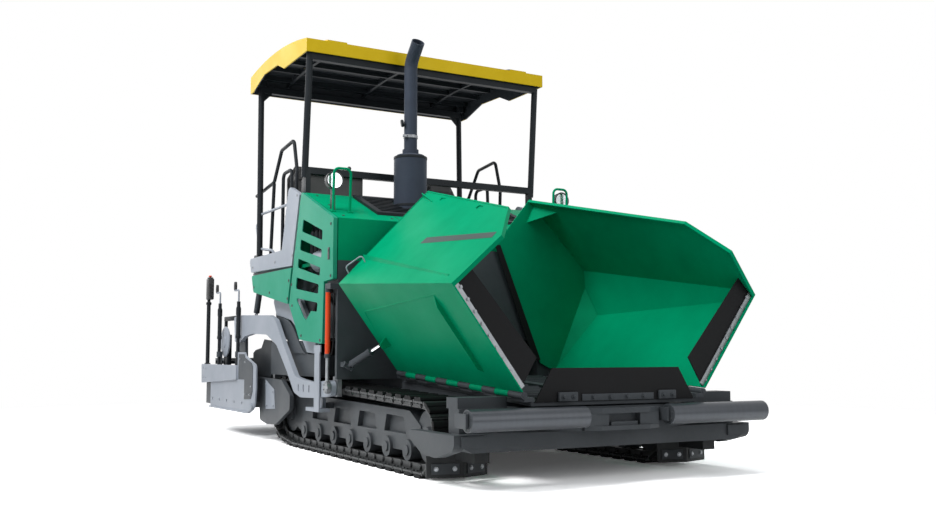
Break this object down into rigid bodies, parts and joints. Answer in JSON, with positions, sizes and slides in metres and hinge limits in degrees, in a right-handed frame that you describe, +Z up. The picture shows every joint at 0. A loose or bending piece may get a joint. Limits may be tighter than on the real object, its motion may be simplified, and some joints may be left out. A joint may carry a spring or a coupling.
{
  "type": "tracked asphalt paver",
  "caption": "Crawler-tracked road paver with a folding material hopper, push rollers, weather roof over the operator platform, side augers and a raised extending screed.",
  "frame": {"origin": "on the ground under the middle of the machine's overall length and width", "axes": "+X in the travel direction towards the hopper and push rollers, +Y to the machine's left, +Z up"},
  "size_m": [6.326, 2.55, 3.7469],
  "materials": {
    "black_paint": "black enamel, semi-matt",
    "black_plastic": "black moulded plastic",
    "black_rubber": "black conveyor rubber, bolted on",
    "chrome_rod": "hard chromed piston rod",
    "dark_paint": "dark grey chassis enamel, semi-matt",
    "green_paint": "bright green machine enamel, satin gloss",
    "light_green_paint": "green machine enamel on the side panels, satin",
    "orange_paint": "orange red signal enamel",
    "seat_vinyl": "black seat vinyl",
    "silver_paint": "light silver grey enamel",
    "steel": "bare worn steel",
    "track_steel": "forged track links with rubber pads, dark",
    "yellow_paint": "warm yellow enamel on the weather roof"
  },
  "bodies": {
    "machine_frame": {"chassis_frame": "dark_paint", "front_crossbeam": "dark_paint", "track_deflectors": "black_paint", "crawler_track_right": "track_steel", "crawler_track_left": "track_steel", "track_frame_right": "dark_paint", "track_frame_left": "dark_paint", "hopper_floor": "dark_paint", "hopper_bulkhead": "dark_paint", "centre_apron": "black_rubber", "engine_block": "dark_paint", "hood": "green_paint", "radiator_grille": "black_paint", "exhaust": "black_paint", "side_covers": "silver_paint", "rear_skirts": "light_green_paint", "operator_platform": "dark_paint", "control_console": "black_plastic", "operator_seats": "seat_vinyl", "canopy_roof": "yellow_paint", "canopy_posts": "black_paint", "handrails": "black_paint", "headlamps": "black_plastic", "levelling_cylinders": "orange_paint", "track_guards": "dark_paint", "auger_gearbox": "dark_paint", "chassis_covers": "silver_paint", "side_guards": "dark_paint", "canopy_lining": "black_paint", "lamp_guards": "green_paint", "arm_guides": "silver_paint"},
    "push_beam": {"roller_beam": "dark_paint"},
    "tow_blocks": {"tow_points": "steel"},
    "screed": {"tow_arms": "silver_paint", "screed_body": "dark_paint", "screed_walkway": "dark_paint"},
    "right_roller": {"push_roller_right": "black_paint"},
    "right_wing": {"hopper_wing_right": "green_paint", "wing_apron_right": "black_rubber", "apron_strip_right": "steel"},
    "right_wing_barrel": {"wing_cylinder_barrel_right": "dark_paint"},
    "right_wing_rod": {"wing_cylinder_rod_right": "chrome_rod"},
    "right_lift_barrel": {"lift_cylinder_barrel_right": "dark_paint"},
    "right_lift_rod": {"lift_cylinder_rod_right": "chrome_rod"},
    "right_extension": {"screed_extension_right": "dark_paint"},
    "right_end_gate": {"end_gate_right": "silver_paint"},
    "right_auger": {"auger_right": "steel"},
    "right_door": {"side_door_right": "light_green_paint"},
    "left_roller": {"push_roller_left": "black_paint"},
    "left_wing": {"hopper_wing_left": "green_paint", "wing_apron_left": "black_rubber", "apron_strip_left": "steel"},
    "left_wing_barrel": {"wing_cylinder_barrel_left": "dark_paint"},
    "left_wing_rod": {"wing_cylinder_rod_left": "chrome_rod"},
    "left_lift_barrel": {"lift_cylinder_barrel_left": "dark_paint"},
    "left_lift_rod": {"lift_cylinder_rod_left": "chrome_rod"},
    "left_extension": {"screed_extension_left": "dark_paint"},
    "left_end_gate": {"end_gate_left": "silver_paint"},
    "left_auger": {"auger_left": "steel"},
    "left_door": {"side_door_left": "light_green_paint"}
  },
  "joints": [
    {"name": "roller_beam_swivel", "type": "hinge", "parent": "machine_frame", "child": "push_beam", "pos_m": [2.915, 0, 0.42], "axis": [0, 0, 1], "range_deg": [-3, 3]},
    {"name": "tow_point_height", "type": "slide", "parent": "machine_frame", "child": "tow_blocks", "axis": [0, 0, 1], "range_m": [-0.04, 0.04]},
    {"name": "screed_float", "type": "hinge", "parent": "tow_blocks", "child": "screed", "pos_m": [0.8, 0, 0.575], "axis": [0, 1, 0], "range_deg": [-3.2, 1.5]},
    {"name": "push_roller_spin_right", "type": "hinge", "parent": "push_beam", "child": "right_roller", "pos_m": [3.093, -0.78, 0.44], "axis": [0, 1, 0], "continuous": true},
    {"name": "wing_fold_right", "type": "hinge", "parent": "machine_frame", "child": "right_wing", "pos_m": [1.123, -0.75, 0.69], "axis": [0.9983, 0, -0.0587], "range_deg": [0, 40]},
    {"name": "wing_cylinder_swing_right", "type": "hinge", "parent": "machine_frame", "child": "right_wing_barrel", "pos_m": [0.95, -1.12, 0.745], "axis": [-0.1601, 0.8958, -0.4147], "range_deg": [-0.5, 34.25]},
    {"name": "wing_cylinder_stroke_right", "type": "slide", "parent": "right_wing_barrel", "child": "right_wing_rod", "axis": [0.8409, 0.3438, 0.418], "range_m": [-0.0727, 0.001]},
    {"name": "lift_cylinder_swing_right", "type": "hinge", "parent": "machine_frame", "child": "right_lift_barrel", "pos_m": [-1.37, -1.13, 1.545], "axis": [0, 1, 0], "range_deg": [-3.2, 2]},
    {"name": "lift_cylinder_stroke_right", "type": "slide", "parent": "right_lift_barrel", "child": "right_lift_rod", "axis": [-0.3853, 0, -0.9228], "range_m": [-0.066, 0.134]},
    {"name": "screed_extend_right", "type": "slide", "parent": "screed", "child": "right_extension", "axis": [0, -1, 0], "range_m": [0, 1.1]},
    {"name": "end_gate_height_right", "type": "slide", "parent": "right_extension", "child": "right_end_gate", "axis": [0, 0, 1], "range_m": [0, 0.08]},
    {"name": "auger_spin_right", "type": "hinge", "parent": "machine_frame", "child": "right_auger", "pos_m": [-1.35, -0.6, 0.47], "axis": [0, 1, 0], "continuous": true},
    {"name": "side_door_right", "type": "hinge", "parent": "machine_frame", "child": "right_door", "pos_m": [-0.06775, -1.2175, 1.7], "axis": [-0.2813, 0, -0.9596], "range_deg": [0, 95]},
    {"name": "push_roller_spin_left", "type": "hinge", "parent": "push_beam", "child": "left_roller", "pos_m": [3.093, 0.78, 0.44], "axis": [0, 1, 0], "continuous": true},
    {"name": "wing_fold_left", "type": "hinge", "parent": "machine_frame", "child": "left_wing", "pos_m": [1.123, 0.75, 0.69], "axis": [-0.9983, 0, 0.0587], "range_deg": [0, 40]},
    {"name": "wing_cylinder_swing_left", "type": "hinge", "parent": "machine_frame", "child": "left_wing_barrel", "pos_m": [0.95, 1.12, 0.745], "axis": [0.1601, 0.8958, 0.4147], "range_deg": [-0.5, 34.25]},
    {"name": "wing_cylinder_stroke_left", "type": "slide", "parent": "left_wing_barrel", "child": "left_wing_rod", "axis": [0.8409, -0.3438, 0.418], "range_m": [-0.0727, 0.001]},
    {"name": "lift_cylinder_swing_left", "type": "hinge", "parent": "machine_frame", "child": "left_lift_barrel", "pos_m": [-1.37, 1.13, 1.545], "axis": [0, 1, 0], "range_deg": [-3.2, 2]},
    {"name": "lift_cylinder_stroke_left", "type": "slide", "parent": "left_lift_barrel", "child": "left_lift_rod", "axis": [-0.3853, 0, -0.9228], "range_m": [-0.066, 0.134]},
    {"name": "screed_extend_left", "type": "slide", "parent": "screed", "child": "left_extension", "axis": [0, 1, 0], "range_m": [0, 1.1]},
    {"name": "end_gate_height_left", "type": "slide", "parent": "left_extension", "child": "left_end_gate", "axis": [0, 0, 1], "range_m": [0, 0.08]},
    {"name": "auger_spin_left", "type": "hinge", "parent": "machine_frame", "child": "left_auger", "pos_m": [-1.35, 0.6, 0.47], "axis": [0, 1, 0], "continuous": true},
    {"name": "side_door_left", "type": "hinge", "parent": "machine_frame", "child": "left_door", "pos_m": [-0.06775, 1.2175, 1.7], "axis": [0.2813, 0, 0.9596], "range_deg": [0, 95]}
  ],
  "couplings": [
    {"joint": "wing_cylinder_swing_right", "follows": "wing_fold_right", "ratio": 0.8436},
    {"joint": "wing_cylinder_stroke_right", "follows": "wing_fold_right", "m_per_rad": -0.10274},
    {"joint": "lift_cylinder_swing_right", "follows": "screed_float", "ratio": 0.8431},
    {"joint": "lift_cylinder_stroke_right", "follows": "screed_float", "m_per_rad": -2.3749},
    {"joint": "wing_cylinder_swing_left", "follows": "wing_fold_left", "ratio": 0.8436},
    {"joint": "wing_cylinder_stroke_left", "follows": "wing_fold_left", "m_per_rad": -0.10274},
    {"joint": "lift_cylinder_swing_left", "follows": "screed_float", "ratio": 0.8431},
    {"joint": "lift_cylinder_stroke_left", "follows": "screed_float", "m_per_rad": -2.3749}
  ]
}
